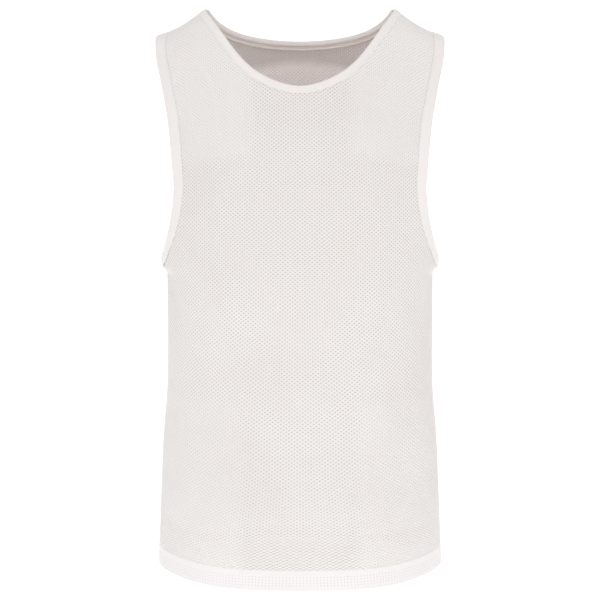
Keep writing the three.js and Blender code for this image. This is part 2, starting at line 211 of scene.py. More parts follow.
def level_points(down, turn):
    """Points round half the body, before the folds."""
    height = middle_height(down)
    sine = np.sin(turn)
    grow = 1 + squareness(height) * np.sin(2 * turn) ** 2
    x = half_width(height) * sine * grow
    flat = HEM_FLAT * ease((HEM_FLAT_FROM - height) / (HEM_FLAT_FROM - MIDDLE_LINE[0, 1]))
    flat = flat * sine**2 * (HEM_FLAT_TURN - sine**2)
    y = middle_y(down) * np.cos(turn) * grow * (1 + flat)
    z = height - TABLE_CROWN + CROWN + slope_share(down) * (shoulder_height(x) - CROWN)
    foot = ease((z - FLARE_FOOT) / (FLARE_TOP - FLARE_FOOT))
    fade = ease((FLARE_FADE - z) / (FLARE_FADE - FLARE_TOP))
    x = x + FLARE * foot * fade * np.clip(sine, 0, 1) ** FLARE_POWER
    return np.stack(np.broadcast_arrays(x, y, z), -1)


def cloth_grid():
    """The grid before the folds, and the way from the middle line to the side in each row."""
    lines = level_points(GRID_DOWN[:, None], TURNS[None, :])
    ways = np.cumsum(np.linalg.norm(np.diff(lines, axis=1), axis=2), axis=1)
    ways = np.concatenate([np.zeros((len(lines), 1)), ways], axis=1)
    off = np.abs(GRID_ACROSS)
    points = np.empty((len(GRID_DOWN), len(off), 3))
    reach = np.empty(len(GRID_DOWN))
    for r, (line, way) in enumerate(zip(lines, ways)):
        for k in range(3):
            points[r, :, k] = np.interp(off, way, line[:, k])
        reach[r] = np.interp(math.pi / 2, TURNS, way)
    points[:, :, 0] *= np.where(GRID_ACROSS < 0, -1, 1)
    return points, reach


def grid_normals(points):
    """Directions out of the cloth at the points of the grid."""
    down, across = np.gradient(points, axis=0), np.gradient(points, axis=1)
    return unit(np.cross(down, across))


def fold_depth(across, down):
    """How far the folds push the cloth out."""
    depth = np.zeros(np.broadcast(across, down).shape)
    for side, q, p, length, width, lean, amount in FOLDS:
        angle = math.radians(lean)
        aside, fall = np.abs(across) - q, np.abs(down) - abs(p)
        along = (fall * math.cos(angle) + aside * math.sin(angle)) / length
        off = (aside * math.cos(angle) - fall * math.sin(angle)) / width
        here = (down * p > 0) & ((side == 0) | (across * side > 0))
        fade = 1 if side == 0 else ease(np.abs(across) / FOLD_FADE)
        depth = depth + amount * np.exp(-(along**2) - off**2) * here * fade
    return depth


GRID, SIDE_REACH = cloth_grid()
GRID += grid_normals(GRID) * fold_depth(GRID_ACROSS[None, :], GRID_DOWN[:, None])[..., None]
GRID_OUT = grid_normals(GRID)


def cloth_end(face):
    """Way from the shoulder line to the fold of the hem, on the front (1) or back (-1)."""
    return FRONT_END if face > 0 else -BACK_END


def side_reach(down):
    """Way across from the middle line to the side seam."""
    return np.interp(down, GRID_DOWN, SIDE_REACH)


def cloth(across, down, out=0.0):
    """Points of the cloth's outer face, moved out by an offset, in millimetres."""
    across, down, out = np.broadcast_arrays(across, down, out)
    i = (down - GRID_DOWN[0]) / (GRID_DOWN[1] - GRID_DOWN[0])
    j = across - GRID_ACROSS[0]
    i0 = np.clip(np.floor(i).astype(int), 0, len(GRID_DOWN) - 2)
    j0 = np.clip(np.floor(j).astype(int), 0, len(GRID_ACROSS) - 2)
    a, b = (i - i0)[..., None], (j - j0)[..., None]

    def between(table):
        near = table[i0, j0] * (1 - b) + table[i0, j0 + 1] * b
        far = table[i0 + 1, j0] * (1 - b) + table[i0 + 1, j0 + 1] * b
        return near * (1 - a) + far * a

    return between(GRID) + unit(between(GRID_OUT)) * out[..., None]


# Edges of the cloth, as rows of across, down and the step one millimetre inwards
EDGE_STEPS = 150
HALF_STEP = 0.5


def edge_rows(table, turn_sign, end_step):
    """Rows along an edge of a table, from the shoulder line to its end."""
    way = travel(table)
    q, p = smooth(way, table[:, 0], 0), smooth(way, table[:, 1], -1)
    at = np.linspace(0, way[-1], EDGE_STEPS + 1)
    ahead, behind = np.minimum(at + HALF_STEP, way[-1]), np.maximum(at - HALF_STEP, 0)
    run = np.stack([q(ahead) - q(behind), p(ahead) - p(behind)], -1)
    across, down = q(at), p(at)
    sideways = cloth(across + HALF_STEP, down) - cloth(across - HALF_STEP, down)
    falling = cloth(across, down + HALF_STEP) - cloth(across, down - HALF_STEP)
    tangent = sideways * run[:, :1] + falling * run[:, 1:]
    inward = turn_sign * unit(np.cross(tangent, np.cross(falling, sideways)))
    # The inward direction in steps across and down, which aren't quite square to each other
    a, b, c = ((m * n).sum(1) for m, n in (
        (sideways, sideways), (sideways, falling), (falling, falling)))
    u, v = (inward * sideways).sum(1), (inward * falling).sum(1)
    size = a * c - b * b
    step = np.stack([(c * u - b * v) / size, (a * v - b * u) / size], -1)
    step[0] = (1, 0) if end_step[0] == 0 else (-1, 0)
    step[-1] = end_step
    return np.column_stack([across, down, step])


def down_at_side(height, face):
    """Way down where the side seam is at a height, on the front (1) or back (-1)."""
    rows = GRID_DOWN * face > 0
    heights = level_points(GRID_DOWN[rows], math.pi / 2)[:, 2]
    order = np.argsort(heights)
    return float(np.interp(height, heights[order], GRID_DOWN[rows][order]))


def underarm_end(face):
    """The armhole's lowest point, and its step inwards along the side seam."""
    down = down_at_side(UNDERARM_HEIGHT, face)
    reach, further = side_reach(down), side_reach(down + face * ARM_BAND)
    return (reach, down), ((further - reach) / ARM_BAND, face)


def moved(rows, distance):
    """Across and down of an edge's rows, moved inwards."""
    return rows[:, 0] + rows[:, 2] * distance, rows[:, 1] + rows[:, 3] * distance


def hem_edge(face, count):
    """Rows along the fold of the hem, from side to side."""
    end, share = cloth_end(face), np.linspace(-1, 1, count)
    rows = np.zeros((count, 4))
    rows[:, 0], rows[:, 1] = share * side_reach(face * end), face * end
    rows[:, 2] = share * (side_reach(face * (end - 1)) - side_reach(face * end))
    rows[:, 3] = -face
    return rows


SIDE_NAMES = {1: "front", -1: "back"}
(front_end, front_step), (back_end, back_step) = underarm_end(1), underarm_end(-1)
NECK_EDGES = {1: edge_rows(NECK_FRONT, -1, (0, 1)), -1: edge_rows(NECK_BACK, 1, (0, -1))}
ARM_EDGES = {1: edge_rows(np.vstack([ARM_FRONT, front_end]), 1, front_step),
             -1: edge_rows(np.vstack([ARM_BACK, back_end]), -1, back_step)}

# Rows right round the neck, and round the armhole on the +X side
half_neck = np.concatenate([NECK_EDGES[1][::-1], NECK_EDGES[-1][1:]])
NECK_RING = np.concatenate([half_neck, half_neck[1:-1][::-1] * np.array([-1, 1, -1, 1])])
ARM_RING = np.concatenate([ARM_EDGES[1], ARM_EDGES[-1][1:-1][::-1]])


# Making pieces
MIRROR = np.array([-1, 1, 1])


def make_piece(name, points, faces, material, uv=None, pit_shade=None):
    """A mesh object from points in millimetres and faces of equal corner count."""
    mesh = bpy.data.meshes.new(name)
    mesh.vertices.add(len(points))
    mesh.vertices.foreach_set("co", (np.asarray(points) * MM).astype(np.float32).ravel())
    faces = np.asarray(faces, np.int32)
    mesh.loops.add(faces.size)
    mesh.loops.foreach_set("vertex_index", faces.ravel())
    mesh.polygons.add(len(faces))
    starts = np.arange(0, faces.size, faces.shape[1], dtype=np.int32)
    mesh.polygons.foreach_set("loop_start", starts)
    mesh.polygons.foreach_set("use_smooth", np.ones(len(faces), bool))
    mesh.update(calc_edges=True)
    if uv is not None:
        layer = mesh.uv_layers.new(name="cut")
        layer.data.foreach_set("uv", (uv[faces.ravel()] * MM).astype(np.float32).ravel())
    # Painted shade of the pits, kept at the points
    if pit_shade is not None:
        point_values(mesh, "pit_shade", pit_shade)
    mesh.validate()
    mesh.materials.append(material)
    piece = bpy.data.objects.new(name, mesh)
    bpy.context.scene.collection.objects.link(piece)
    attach(piece, "root")
    return piece


def point_values(mesh, name, values):
    """A named number at each point of a mesh."""
    layer = mesh.attributes.new(name, "FLOAT", "POINT")
    layer.data.foreach_set("value", np.asarray(values, np.float32))


def strip(rows, outline, closed, mirror=False):
    """Points and faces of a strip: an open outline (way in, way out) along edge rows."""
    outline = np.asarray(outline, float)
    across = rows[:, None, 0] + rows[:, None, 2] * outline[None, :, 0]
    down = rows[:, None, 1] + rows[:, None, 3] * outline[None, :, 0]
    edge = np.clip(1 - outline[None, :, 0] / CURL_WIDTH, 0, 1) ** 2
    curl = CURL * edge * np.exp(-(down / CURL_LENGTH) ** 2) if closed else 0
    points = cloth(across, down, outline[None, :, 1] - curl)
    if mirror:
        points = points * MIRROR
    count, size = across.shape
    k = np.arange(count if closed else count - 1)
    near, far = k[:, None] * size, ((k + 1) % count)[:, None] * size
    m = np.arange(size - 1)[None, :]
    faces = np.stack([near + m, near + m + 1, far + m + 1, far + m], -1).reshape(-1, 4)
    if mirror:
        faces = faces[:, ::-1]
    return points.reshape(-1, 3), faces


def strip_uv(way_along, way_over):
    """Places on the cut cloth of a strip's points."""
    both = np.broadcast_arrays(way_along[:, None], way_over[None, :])
    return np.stack(both, -1).reshape(-1, 2)


def joined(parts):
    """Several (points, faces) joined into one."""
    points, faces, start = [], [], 0
    for some_points, some_faces in parts:
        points.append(some_points)
        faces.append(np.asarray(some_faces) + start)
        start += len(some_points)
    return np.concatenate(points), np.concatenate(faces)


def inside(across, down, outline):
    """Which places lie within a closed outline of across and down."""
    hit = np.zeros(np.shape(across), bool)
    for (q0, p0), (q1, p1) in zip(outline, np.roll(outline, -1, axis=0)):
        if p0 == p1:
            continue
        crossing = (p0 > down) != (p1 > down)
        hit ^= crossing & (across < q0 + (down - p0) * (q1 - q0) / (p1 - p0))
    return hit


# The net: places in it are counted in quarters of the pitch across and sixths of a half row
QUARTERS, SIXTHS = 4, 6
# Corners of one cell round its eyelet, in the panels and in the hem
STAGGERED = np.array([(0, 4), (2, 2), (2, -2), (0, -4), (-2, -2), (-2, 2)])
DOUBLED = np.array([(1, 6), (1, -6), (-1, -6), (-1, 6)])
# The corners' directions are drawn out sideways by this before they shape the eyelet
CORNER_STRETCH = 1.8
# Cells are made this far to each side and then cut to the panel
CELLS = np.arange(-120, 121)
# Slivers of less than half this area, in square millimetres, are left out
LEAST_AREA = 0.02
# Way down given to the corners above the first row
ABOVE_FIRST = -3

pitch_across, pitch_down = (smooth(NET[:, 0], NET[:, k]) for k in (1, 2))
half_rows = [0.0]
while half_rows[-1] < FRONT_END + ROWS_BEYOND:
    half_rows.append(half_rows[-1] + float(pitch_down(half_rows[-1])) / 2)
HALF_ROWS = np.array(half_rows)


def row_down(row):
    """Way down of a half row, or of a place between two."""
    return np.interp(row, np.arange(len(HALF_ROWS)), HALF_ROWS, left=ABOVE_FIRST)


def level(across, down, face):
    """Rows of the net lie level, so the slope of the shoulder cuts across them."""
    drop = CROWN - shoulder_height(np.clip(across, -SHOULDER_TIP, SHOULDER_TIP))
    return down - ROW_LEVEL * slope_share(face * down) * drop


def cell_middles(face, near, far, outline, corner):
    """Cells inside an outline: quarters of the pitch across, and half row."""
    rows = np.flatnonzero((HALF_ROWS >= near) & (HALF_ROWS < far))
    if corner is STAGGERED:
        quarters, rows = np.meshgrid(QUARTERS * CELLS, rows)
        quarters = quarters + QUARTERS // 2 * (rows % 2)
    else:
        quarters, rows = np.meshgrid(QUARTERS // 2 * CELLS, rows[rows % 2 == 0])
    middle_down = row_down(rows)
    across = quarters / QUARTERS * pitch_across(middle_down)
    down = level(across, middle_down, face)
    reach = side_reach(face * down)
    keep = np.abs(across) < reach + 0.5 * pitch_across(middle_down)
    keep &= down > -0.5 * pitch_down(0)
    keep &= inside(np.minimum(np.abs(across), reach - 0.1), down, outline)
    return quarters[keep], rows[keep]


def dot_shade(across, down, face):
    """How strong a dot's painted shade is, from the middle of the cloth to its sides."""
    share = np.interp(down, DOT_SHADE[:, 0], DOT_SHADE[:, 1 if face > 0 else 2])
    for reach, top, foot, most in PALER_DOTS if face > 0 else ():
        here = ease((np.abs(across) - reach) / PALER_DOTS_FADE + 0.5)
        here = here * ease((down - top) / PALER_DOTS_FADE + 0.5)
        here = here * ease((foot - down) / PALER_DOTS_FADE + 0.5)
        share = share + here * (np.minimum(share, most) - share)
    return share


def seam_sink(distance):
    """How far the net sinks at a distance from a seam."""
    return SEAM_SINK * np.exp(-(distance / SEAM_SINK_WIDTH) ** 2)


def net(face, near, far, outline, corner=STAGGERED, out=0.0, pit_shade=1.0, rim_out=RIM_OUT):
    """Points, faces, places on the cut cloth and painted pit shade of part of the front (1) or back
    (-1).
    """
    quarters, rows = cell_middles(face, near, far, outline, corner)
    corners = np.stack([quarters[:, None] + corner[None, :, 0],
                        SIXTHS * rows[:, None] + corner[None, :, 1]], -1)
    knots, knot = np.unique(corners.reshape(-1, 2), axis=0, return_inverse=True)
    knot_down = row_down(knots[:, 1] / SIXTHS)
    knot_across = knots[:, 0] / QUARTERS * pitch_across(knot_down)

    middle_down = row_down(rows)[:, None]
    width, height = pitch_across(middle_down), pitch_down(middle_down)
    angle = np.arctan2(corner[:, 1], corner[:, 0] * CORNER_STRETCH)
    rim_across = quarters[:, None] / QUARTERS * width + EYELET_ACROSS * width * np.cos(angle)
    rim_down = middle_down + EYELET_DOWN * height * np.sin(angle)

    across = np.concatenate([knot_across, rim_across.ravel()])
    down = np.concatenate([knot_down, rim_down.ravel()])
    down = np.maximum(level(across, down, face), 0)
    reach = side_reach(face * down)
    to_side = np.clip(reach - np.abs(across), 0, None)
    across = np.clip(across, -reach, reach)
    offset = np.concatenate([np.full(len(knots), KNOT_OUT), np.full(rim_down.size, rim_out)])
    points = cloth(across, face * down, offset + out - seam_sink(to_side) - seam_sink(down))

    knot = knot.reshape(rim_down.shape)
    rim = len(knots) + np.arange(rim_down.size).reshape(rim_down.shape)
    faces = np.stack([knot, np.roll(knot, -1, 1), np.roll(rim, -1, 1), rim], -1).reshape(-1, 4)
    q, p = across[faces], down[faces]
    area = (q[:, 2] - q[:, 0]) * (p[:, 3] - p[:, 1]) - (q[:, 3] - q[:, 1]) * (p[:, 2] - p[:, 0])
    faces = faces[np.abs(area) > LEAST_AREA]
    used, faces = np.unique(faces if face > 0 else faces[:, ::-1], return_inverse=True)
    uv = np.stack([across, down], -1)[used]
    # Painted shade of the pits: full at the eyelets' rims, none at the knots
    depth = (used >= len(knots)) * pit_shade
    if corner is STAGGERED:
        depth = depth * dot_shade(uv[:, 0], uv[:, 1], face)
    return points[used], faces.reshape(-1, 4), uv, depth


# Materials
# Colour sockets of a mix node, and its result
MIX_FIRST, MIX_SECOND, MIX_RESULT = 6, 7, 2
# Slow changes of tone and fine specks: scale of each, ends of the slow ramp, share of specks
SLOW_SCALE, FINE_SCALE, SLOW_FROM, SLOW_TO, SPECK = 9.0, 900.0, 0.35, 0.65, 0.06
KNIT_STRENGTH = 0.35
# The pits' painted shade shows from this value and is full at this one
PIT_SHADE_FROM, PIT_SHADE_TO = 0.68, 0.84
# Painted shade on the inside of the back below the neck: way down to its foot, and fade
BACK_NECK_SHADE_DOWN, BACK_NECK_SHADE_FADE = 138.0, 16.0
# Painted shade of the net down the body, darker over the chest and again above the hem: metres down from
# the shoulder line, share
BODY_SHADE = [(0.11, 0.985), (0.20, 0.938), (0.46, 0.955), (0.64, 0.94), (0.72, 1.0)]
# What the reverse of the net multiplies its colour by: painted light that lifts and warms it, and
# painted shade below the back neck
REVERSE_LIGHT, BACK_NECK_SHADE = (1.06, 1.02, 1.01, 1.0), (0.73, 0.685, 0.665, 1.0)
BLACK, WHITE = (0.0, 0.0, 0.0, 1.0), (1.0, 1.0, 1.0, 1.0)


def linear(r, g, b):
    """A colour given in 255 levels, as the shader reads it."""
    return tuple(((c / 255 + 0.055) / 1.055) ** 2.4 for c in (r, g, b)) + (1.0,)


def feed(tree, socket, value):
    """Gives a socket a value, or the output of another node."""
    if isinstance(value, bpy.types.NodeSocket):
        tree.links.new(value, socket)
    else:
        socket.default_value = value


def mixed(tree, blend, factor, first, second):
    """Two colours mixed, each a value or an output."""
    mix = tree.nodes.new("ShaderNodeMix")
    mix.data_type, mix.blend_type = "RGBA", blend
    feed(tree, mix.inputs["Factor"], factor)
    feed(tree, mix.inputs[MIX_FIRST], first)
    feed(tree, mix.inputs[MIX_SECOND], second)
    return mix.outputs[MIX_RESULT]


def ramp(tree, value, stops):
    """A colour ramp through stops of place and colour."""
    made = tree.nodes.new("ShaderNodeValToRGB")
    elements = made.color_ramp.elements
    while len(elements) < len(stops):
        elements.new(0.5)
    for element, (place, colour) in zip(elements, stops):
        element.position, element.color = place, colour
    tree.links.new(value, made.inputs["Fac"])
    return made.outputs["Color"]


def noise(tree, scale):
    """Even noise in the object's own space."""
    place = tree.nodes.new("ShaderNodeTexCoord")
    made = tree.nodes.new("ShaderNodeTexNoise")
    made.inputs["Scale"].default_value, made.inputs["Detail"].default_value = scale, 2.0
    tree.links.new(place.outputs["Object"], made.inputs["Vector"])
    return made.outputs["Fac"]


def math_node(tree, operation, *values):
    """One step of arithmetic on numbers or outputs."""
    made = tree.nodes.new("ShaderNodeMath")
    made.operation = operation
    for socket, value in zip(made.inputs, values):
        feed(tree, socket, value)
    return made.outputs[0]


def separated(tree, vector):
    """The parts of a vector."""
    made = tree.nodes.new("ShaderNodeSeparateXYZ")
    tree.links.new(vector, made.inputs[0])
    return made.outputs


def attribute(tree, name):
    """A number kept at the points of the mesh."""
    made = tree.nodes.new("ShaderNodeAttribute")
    made.attribute_name = name
    return made.outputs["Fac"]


def net_colour(tree, cut, colour, pit_shade):
    """The net's colour, with painted shade down the body and in the pits, and painted light and shade on
    its reverse side.
    """
    stops = [(place, (share, share, share, 1)) for place, share in BODY_SHADE]
    body_shade = ramp(tree, separated(tree, cut)["Y"], stops)
    colour = mixed(tree, "MULTIPLY", 1.0, colour, body_shade)
    # The pits' darker colour is painted shade
    pit_shaded = ramp(tree, attribute(tree, "pit_shade"), [(PIT_SHADE_FROM, BLACK), (PIT_SHADE_TO, WHITE)])
    colour = mixed(tree, "MIX", pit_shaded, colour, pit_shade)
    # Painted light on the reverse side, and painted shade inside the back below the neck
    reverse_light_and_shade = mixed(tree, "MIX", attribute(tree, "shade"), REVERSE_LIGHT, BACK_NECK_SHADE)
    backfacing = tree.nodes.new("ShaderNodeNewGeometry").outputs["Backfacing"]
    return mixed(tree, "MULTIPLY", backfacing, colour, reverse_light_and_shade)


def knit_bump(tree, cut, fine, pitch, depth):
    """Fine wales and courses of the knit, a little uneven."""
    scaled = tree.nodes.new("ShaderNodeVectorMath")
    scaled.operation = "SCALE"
    scaled.inputs["Scale"].default_value = 2 * math.pi / pitch
    tree.links.new(cut, scaled.inputs[0])
    turns = separated(tree, scaled.outputs["Vector"])
    wale, course = (math_node(tree, "SINE", turns[axis]) for axis in ("X", "Y"))
    bump = tree.nodes.new("ShaderNodeBump")
    bump.inputs["Strength"].default_value, bump.inputs["Distance"].default_value = KNIT_STRENGTH, depth
    tree.links.new(math_node(tree, "MULTIPLY_ADD", wale, course, fine), bump.inputs["Height"])
    return bump.outputs["Normal"]


def cloth_material(name, colour, dark, knit_pitch, knit_depth, roughness, sheen, pit_shade=None):
    """Knitted cloth, with slow changes of tone between two colours."""
    material = bpy.data.materials.new(name)
    material.use_nodes = True
    tree = material.node_tree
    shader = tree.nodes["Principled BSDF"]
    cut_map = tree.nodes.new("ShaderNodeUVMap")
    cut_map.uv_map = "cut"
    cut = cut_map.outputs["UV"]
    fine = noise(tree, FINE_SCALE)
    tone = ramp(tree, noise(tree, SLOW_SCALE), [(SLOW_FROM, dark), (SLOW_TO, colour)])
    base = mixed(tree, "MULTIPLY", SPECK, tone, fine)
    if pit_shade is not None:
        base = net_colour(tree, cut, base, pit_shade)
    for socket, value in (
            ("Base Color", base), ("Normal", knit_bump(tree, cut, fine, knit_pitch, knit_depth)),
            ("Roughness", roughness), ("Sheen Weight", sheen), ("Sheen Roughness", 0.5),
            ("Specular IOR Level", 0.25)):
        feed(tree, shader.inputs[socket], value)
    return material


# Each: name, colour, darker colour, pitch and depth of the knit in metres, roughness, sheen
# and, for the net, the colour of the painted shade in its pits
MESH_CLOTH = cloth_material(
    "mesh_cloth", linear(247, 243, 241), linear(244, 239, 237), 0.0007, 0.00010, 0.75, 0.15,
    linear(203, 194, 189))
BINDING_CLOTH = cloth_material(
    "binding_cloth", linear(242, 237, 235), linear(240, 235, 232), 0.0009, 0.00012, 0.85, 0.12)
HEM_CLOTH = cloth_material(
    "hem_cloth", linear(247, 243, 244), linear(245, 241, 241), 0.0007, 0.00010, 0.75, 0.15,
    linear(223, 217, 217))
SEAM_CLOTH = cloth_material(
    "seam_cloth", linear(240, 230, 225), linear(236, 225, 220), 0.0007, 0.00012, 0.8, 0.1)
# Painted shade for the groove above the neck's inner seam
SEAM_SHADE = cloth_material(
    "seam_shade", linear(232, 222, 218), linear(228, 217, 213), 0.0007, 0.00012, 0.9, 0.05)
THREAD = cloth_material(
    "thread", linear(248, 247, 245), linear(244, 242, 240), 0.0005, 0.00008, 0.6, 0.1)

# The solids get the looks of the cloth that they stand for
for name, node_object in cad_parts.items():
    node_object.data.materials.clear()
    node_object.data.materials.append(BINDING_CLOTH if "binding" in name else MESH_CLOTH)

# Panels and hems
# How far in from the edges the net starts, under the neck and armhole bindings
NECK_UNDER, ARM_UNDER = 4.0, 5.0
# Places well clear of the panel: past its middle, past its side, above it and below it
CLEAR_IN, CLEAR_OUT, CLEAR_ABOVE, CLEAR_BELOW = -60, 400, -5, 10
# Rows of an edge from one point of the outline to the next
OUTLINE_STEP = 5

# The hem turns up inside. Way in from the fold and way out of its closed strips:
# the stitched ridge, the fold and the overlocked edge inside.
HEM_RIDGE = [(24.6, -0.9), (24.2, -0.2), (23.4, 0.25), (22.4, 0.4), (21.2, 0.4), (20.4, 0.28),
             (19.6, 0.44), (18.6, 0.42), (17.6, 0.28)]
HEM_FOLD = [(3.2, 0.1), (2.2, 0.3), (1.2, 0.25), (0.45, 0.0), (0.0, -0.6), (0.45, -1.3),
            (1.3, -1.6), (2.4, -1.66), (3.6, -1.5)]
HEM_LIP = [(24.6, -0.75), (24.4, -1.35), (23.9, -1.6), (22.6, -1.9), (21.2, -1.85), (20.8, -1.5)]
# Its doubled net: way down from the hem's top, and way out, of the outer and the inner layer
HEM_LAYERS = [(3.6, 0.2), (2.5, -1.55)]
# The net ends this far above the fold, and the strips have this many points from side to side
HEM_NET_END, HEM_POINTS = 1.2, 241


def panel_outline(face):
    """Half the panel as across and depth; its edges run on inside the bindings."""
    foot = cloth_end(face) + CLEAR_BELOW
    neck_q, neck_p = moved(NECK_EDGES[face], NECK_UNDER)
    arm_q, arm_p = moved(ARM_EDGES[face], ARM_UNDER)
    points = [(CLEAR_IN, foot), (CLEAR_IN, abs(neck_p[-1]))]
    points += list(zip(neck_q[::-OUTLINE_STEP], np.abs(neck_p[::-OUTLINE_STEP])))
    points += [(neck_q[0], CLEAR_ABOVE), (arm_q[0], CLEAR_ABOVE)]
    points += list(zip(arm_q[::OUTLINE_STEP], np.abs(arm_p[::OUTLINE_STEP])))
    points += [(CLEAR_OUT, abs(arm_p[-1])), (CLEAR_OUT, foot)]
    return np.array(points)


def panel_net(face, part, near, far):
    """The upper or lower net of a panel, with painted shade on the reverse of the back below the neck.
    """
    points, faces, uv, pit_shade = net(face, near, far, panel_outline(face))
    side_name = SIDE_NAMES[face]
    piece = make_piece(f"{side_name}_net_{part}", points, faces, MESH_CLOTH, uv, pit_shade)
    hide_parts(side_name)
    # Painted shade inside the back below the neck, fading out further down
    shade = (1 - ease((uv[:, 1] - BACK_NECK_SHADE_DOWN) / BACK_NECK_SHADE_FADE)) * (face < 0)
    point_values(piece.data, "shade", shade)


def hem(face):
    """The turned-up hem of a panel, in one piece."""
    side_name, end = SIDE_NAMES[face], cloth_end(face)
    parts, uvs, pit_shades = [], [], []
    for below, out in HEM_LAYERS:
        points, faces, uv, pit_shade = net(face, end - HEM_BAND + below, end - HEM_NET_END,
                                     panel_outline(face), DOUBLED, out, HEM_PIT_SHADE, HEM_RIM_OUT)
        # The inner layer, which lies under the face of the cloth, faces inwards
        parts.append((points, faces if out > 0 else faces[:, ::-1]))
        uvs.append(uv)
        pit_shades.append(pit_shade)
    rows = hem_edge(face, HEM_POINTS)
    for outline in (HEM_RIDGE, HEM_FOLD, HEM_LIP):
        points, faces = strip(rows, outline, False)
        parts.append((points, faces if face > 0 else faces[:, ::-1]))
        uvs.append(strip_uv(rows[:, 0], end - travel(outline)))
        # The plain strips get a slight share of the painted pit shade
        pit_shades.append(np.full(len(points), HEM_PLAIN_SHADE))
    points, faces = joined(parts)
    piece = make_piece(f"{side_name}_hem", points, faces, HEM_CLOTH,
                       np.concatenate(uvs), np.concatenate(pit_shades))
    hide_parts(f"hem_{side_name}")


for face in SIDE_NAMES:
    panel_net(face, "upper", 0, NET_SPLIT)
    panel_net(face, "lower", NET_SPLIT, cloth_end(face) - HEM_BAND)
    hem(face)

# Bindings: one folded strip each, open where it is sewn over the net
# The neck's band reaches this much further in on its inner side
NECK_LIP = 1.6


def band_outline(width, lip):
    """From the sewn edge outside, round the fold, to the sewn edge inside: way in, way out."""
    inner = width + lip
    return np.array([
        (width + 0.15, 0.1), (width - 0.1, 0.38), (width - 0.9, 0.5), (width - 1.6, 0.38),
        (width - 2.3, 0.55), (width * 0.55, 0.66), (2.6, 0.66), (1.5, 0.56), (0.7, 0.3),
        (0.2, -0.1), (0, -0.6), (0.2, -1.2), (0.8, -1.8), (1.7, -2.2), (2.9, -2.35),
        (inner - 6.2, -2.2), (inner - 5.2, -1.9), (inner - 4.2, -1.1), (inner - 3.1, -0.3),
        (inner - 2.5, -0.3), (inner - 2.1, -1.2), (inner - 1.1, -1.9), (inner - 0.2, -1.8),
        (inner + 0.15, -1.1),
    ])


def binding(name, rows, width, mirror=False, lip=0.0):
    """A folded strip round an edge, one closed ring."""
    outline = band_outline(width, lip)
    points, faces = strip(rows, outline, True, mirror)
    length = travel(cloth(rows[:, 0], rows[:, 1]))[-1]
    along = np.linspace(0, length, len(rows))
    piece = make_piece(name, points, faces, BINDING_CLOTH, strip_uv(along, travel(outline)))
    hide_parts(name.replace("_band", "_binding"))


binding("neck_band", NECK_RING, NECK_BAND, lip=NECK_LIP)
binding("armhole_band_left", ARM_RING, ARM_BAND)
binding("armhole_band_right", ARM_RING, ARM_BAND, mirror=True)

# Seams inside: cords are ovals of way in, way out, width and height
CORD_POINTS = 9
NECK_CORD = (NECK_BAND + NECK_LIP - 0.4, -2.5, 2.2, 1.9)
ARM_CORD = (ARM_BAND - 0.1, -2.1, 2.2, 1.4)
SIDE_CORD = (0.0, -0.95, 4.2, 1.1)
# The shaded line above the neck's inner seam: way in from the band's edge, and way out
NECK_LINE = np.array([(-1.6, -1.9), (-2.2, -1.3), (-2.9, -0.6), (-4.0, -1.3), (-4.8, -2.0)])
# Points of the side and shoulder seams, where the shoulder seam starts and ends under the
# bindings, and how far above the hem's fold the side seam ends
SIDE_POINTS, SHOULDER_POINTS = 160, 30
SHOULDER_FROM = NECK_FRONT[0, 0] + NECK_BAND - 1.0
SHOULDER_TO = ARM_FRONT[0, 0] - ARM_BAND + 0.2
SIDE_END = 2.0


def cord_outline(way, out, width, height):
    """An oval cord's outline: way in, way out."""
    turn = np.linspace(0, 2 * math.pi, CORD_POINTS)
    return np.stack([way + width / 2 * np.cos(turn), out + height / 2 * np.sin(turn)], -1)


def seam(name, parts, material=THREAD):
    """Seams or stitches, joined into one piece."""
    points, faces = joined(parts)
    piece = make_piece(name, points, faces, material, points[:, [2, 0]])


def straight_rows(across, down, step):
    """Rows along the side or shoulder seam, with the same step in at each."""
    steps = np.broadcast_to(step, (len(across), 2))
    return np.column_stack([across, np.broadcast_to(down, len(across)), steps])


side_top = down_at_side(UNDERARM_HEIGHT, 1) + ARM_BAND
side_down = np.linspace(side_top, FRONT_END - SIDE_END, SIDE_POINTS)
side_rows = straight_rows(side_reach(side_down), side_down, (-1, 0))
shoulder_rows = straight_rows(np.linspace(SHOULDER_FROM, SHOULDER_TO, SHOULDER_POINTS), 0, (0, 1))

seam("neck_seam_inside", [strip(NECK_RING, cord_outline(*NECK_CORD), True)], SEAM_CLOTH)
# A darker strip in the groove above the neck's inner seam: painted shade
seam("neck_seam_shade_line", [strip(NECK_RING, NECK_LINE + (NECK_BAND + NECK_LIP, 0), True)], SEAM_SHADE)
seam("armhole_seams_inside", [
    strip(ARM_RING, cord_outline(*ARM_CORD), True, mirror) for mirror in (False, True)])
seam("side_and_shoulder_seams", [
    strip(rows, cord_outline(*SIDE_CORD), False, mirror)
    for rows in (side_rows, shoulder_rows) for mirror in (False, True)])

# Stitches outside: length from one to the next, and the stitch's own half length, half
# width, half height and how deep its ends dip
STITCH = 3.1
STITCH_REACH, STITCH_WIDE, STITCH_HIGH, STITCH_DIP = 0.4 * STITCH, 0.3, 0.24, 0.6
STITCH_SIDES = 6
# Rings of one stitch: share of its half length, share of its thickness, share of the dip
STITCH_RINGS = [(-1, 0.0, -0.35), (-0.72, 0.75, 0.0), (0, 1.0, 0.12), (0.72, 0.75, 0.0), (1, 0.0, -0.35)]
# Way in from a band's sewn edge, way out on bands and hem, and the hem's two lines
BAND_STITCH_IN, BAND_STITCH_OUT, HEM_STITCH_OUT = 1.5, 0.55, 0.18
HEM_STITCH_WAYS = (20.0, 23.4)
HEM_STITCH_POINTS = 300


def one_stitch():
    """Points of one stitch: way along, aside and out."""
    turns = np.arange(STITCH_SIDES) * 2 * math.pi / STITCH_SIDES
    return np.array([
        (share * STITCH_REACH, size * STITCH_WIDE * math.cos(turn),
         size * STITCH_HIGH * math.sin(turn) + dip * STITCH_DIP)
        for share, size, dip in STITCH_RINGS for turn in turns])


